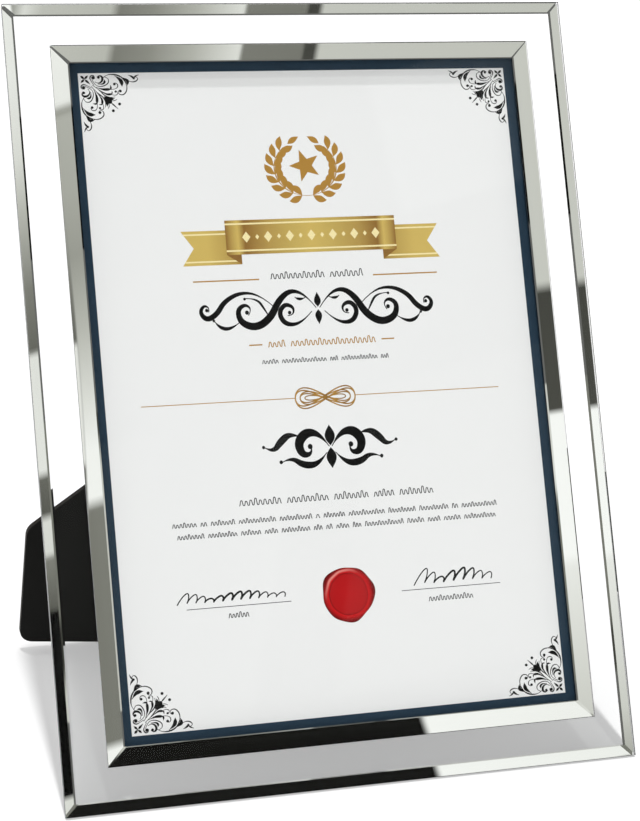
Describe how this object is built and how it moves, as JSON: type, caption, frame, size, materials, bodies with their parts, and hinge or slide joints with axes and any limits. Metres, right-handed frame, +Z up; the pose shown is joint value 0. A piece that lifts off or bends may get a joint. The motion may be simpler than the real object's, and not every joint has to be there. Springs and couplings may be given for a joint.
{
  "type": "certificate frame",
  "caption": "Bevelled glass frame that leans on a fold-out flocked easel leg and holds an A4 certificate, which slides in from the side behind silvered bevels.",
  "frame": {"origin": "on the table plane, at the centre of the standing frame's footprint: half way between the front of the lower glass edge and the back of the leg's foot, on the middle line of the glass", "axes": "+Z up from the table, -Y towards the viewer of the glass, +X along the lower edge to the viewer's right, which is also the way the sheet and the back board slide out"},
  "size_m": [0.26, 0.1912, 0.3204],
  "materials": {
    "plate_glass": "polished",
    "silver": "polished",
    "channel_metal": "satin",
    "sheet_paper": "matte",
    "hardboard": "matte",
    "flock": "matte",
    "hinge_steel": "satin",
    "rivet_steel": "satin"
  },
  "bodies": {
    "frame": {"outer_glass": "plate_glass", "inner_glass": "plate_glass", "outer_mirror_top": "silver", "outer_mirror_bottom": "silver", "outer_mirror_left": "silver", "outer_mirror_right": "silver", "inner_mirror_top": "silver", "inner_mirror_bottom": "silver", "inner_mirror_left": "silver", "inner_mirror_right": "silver", "rail_side": "channel_metal", "rail_top": "channel_metal", "rail_bottom": "channel_metal"},
    "certificate": {"certificate_sheet": "sheet_paper"},
    "back_panel": {"back_board": "hardboard", "back_flock": "flock", "hinge_plate": "hinge_steel", "hinge_plate_rivets": "rivet_steel"},
    "leg": {"leg_board": "hardboard", "leg_flock_front": "flock", "leg_flock_back": "flock", "hinge_leaf": "hinge_steel", "hinge_leaf_rivets": "rivet_steel", "hinge_pin": "hinge_steel"}
  },
  "joints": [
    {"name": "panel_slide", "type": "slide", "parent": "frame", "child": "back_panel", "axis": [1, 0, 0], "range_m": [0, 0.212]},
    {"name": "sheet_slide", "type": "slide", "parent": "frame", "child": "certificate", "axis": [1, 0, 0], "range_m": [0, 0.212]},
    {"name": "leg_fold", "type": "hinge", "parent": "back_panel", "child": "leg", "pos_m": [0, 0.01755, 0.24626], "axis": [-1, 0, 0], "range_deg": [0, 39.5]}
  ]
}
